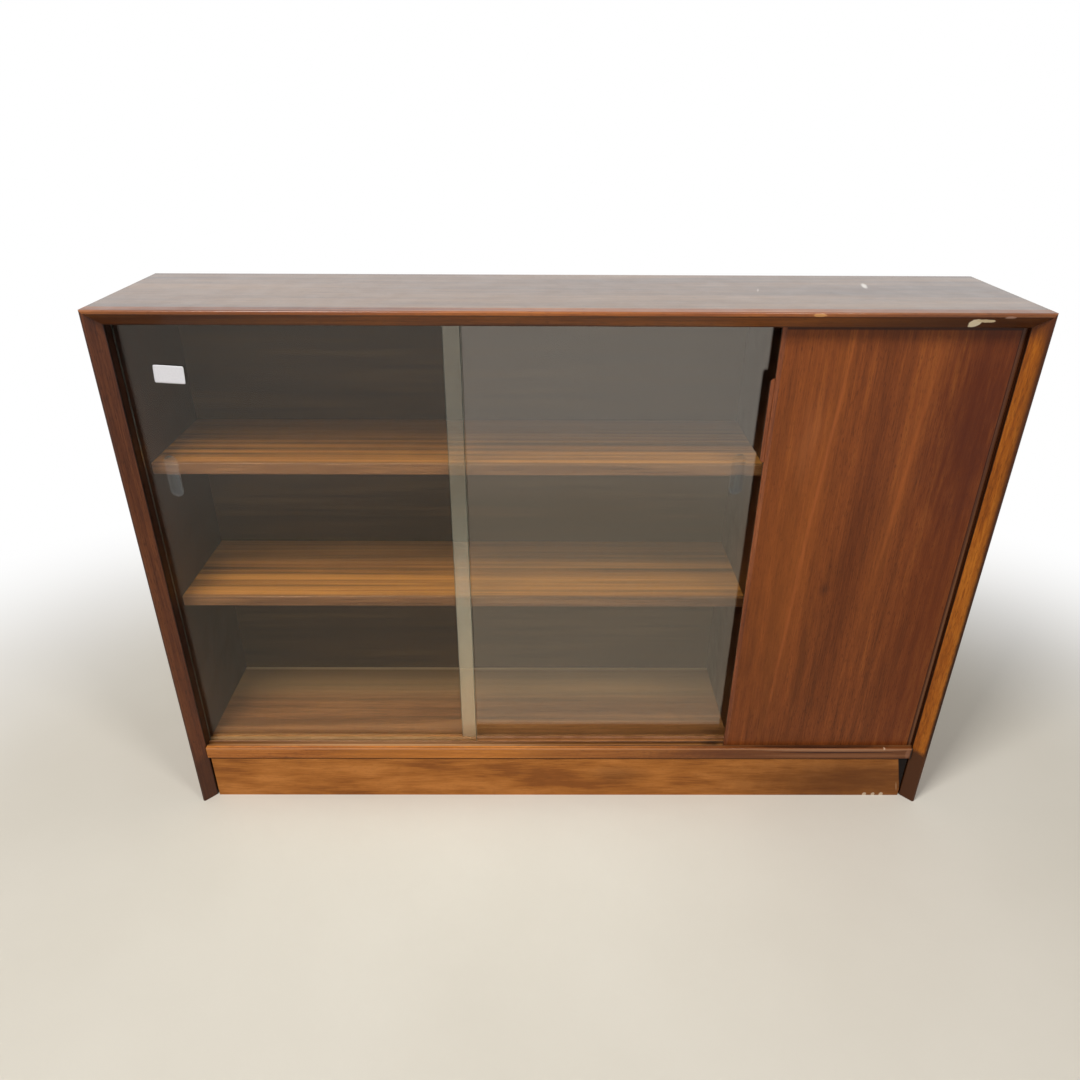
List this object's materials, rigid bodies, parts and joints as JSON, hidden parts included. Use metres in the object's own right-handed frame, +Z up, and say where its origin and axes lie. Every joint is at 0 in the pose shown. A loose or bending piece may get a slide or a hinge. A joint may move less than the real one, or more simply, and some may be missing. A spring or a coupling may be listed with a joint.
{
  "type": "bookcase with sliding doors",
  "caption": "Low wooden bookcase with frameless sliding glass doors over shelves, a sliding veneered door over a cupboard, bevelled front edges and a recessed plinth.",
  "frame": {"origin": "on the floor, under the middle of the bounding box", "axes": "+X along the width towards the cupboard end, -Y out of the front, +Z up"},
  "size_m": [1.22, 0.24, 0.83],
  "materials": {
    "sapele_veneer": "satin lacquer",
    "sapele_solid": "satin lacquer",
    "plinth_wood": "satin lacquer",
    "shelf_veneer": "satin lacquer",
    "back_ply": "sealed",
    "softwood": "sawn",
    "beech": "planed",
    "clear_glass": "polished",
    "track_plastic": "moulded",
    "brass": "turned",
    "steel": "bright wire"
  },
  "bodies": {
    "carcass": {"right_side_panel": "sapele_veneer", "left_side_panel": "sapele_veneer", "top_panel": "sapele_veneer", "right_front_lipping": "sapele_solid", "left_front_lipping": "sapele_solid", "top_front_lipping": "sapele_solid", "bottom_board": "sapele_veneer", "bottom_board_lipping": "sapele_solid", "plinth_board": "plinth_wood", "plinth_back_rail": "softwood", "plinth_glue_blocks": "softwood", "lower_glass_track": "track_plastic", "upper_glass_track": "track_plastic", "divider_panel": "sapele_veneer", "divider_lipping": "sapele_solid", "carcass_dowels": "beech", "mitre_splines": "beech", "back_panel": "back_ply", "back_panel_nails": "steel", "upper_shelf": "shelf_veneer", "upper_shelf_lipping": "sapele_solid", "lower_shelf": "shelf_veneer", "lower_shelf_lipping": "sapele_solid", "cupboard_shelf": "shelf_veneer", "cupboard_shelf_lipping": "sapele_solid", "upper_shelf_studs": "brass", "lower_shelf_studs": "brass", "cupboard_shelf_studs": "brass"},
    "left_glass_door": {"left_glass_pane": "clear_glass"},
    "right_glass_door": {"right_glass_pane": "clear_glass"},
    "wood_door": {"wood_door_panel": "sapele_veneer", "wood_door_left_lipping": "sapele_solid", "wood_door_right_lipping": "sapele_solid", "finger_pull": "sapele_solid"}
  },
  "joints": [
    {"name": "left_glass_slide", "type": "slide", "parent": "carcass", "child": "left_glass_door", "axis": [1, 0, 0], "range_m": [0, 0.73]},
    {"name": "right_glass_slide", "type": "slide", "parent": "carcass", "child": "right_glass_door", "axis": [1, 0, 0], "range_m": [-0.4245, 0.3055]},
    {"name": "wood_door_slide", "type": "slide", "parent": "carcass", "child": "wood_door", "axis": [-1, 0, 0], "range_m": [0, 0.858]}
  ]
}
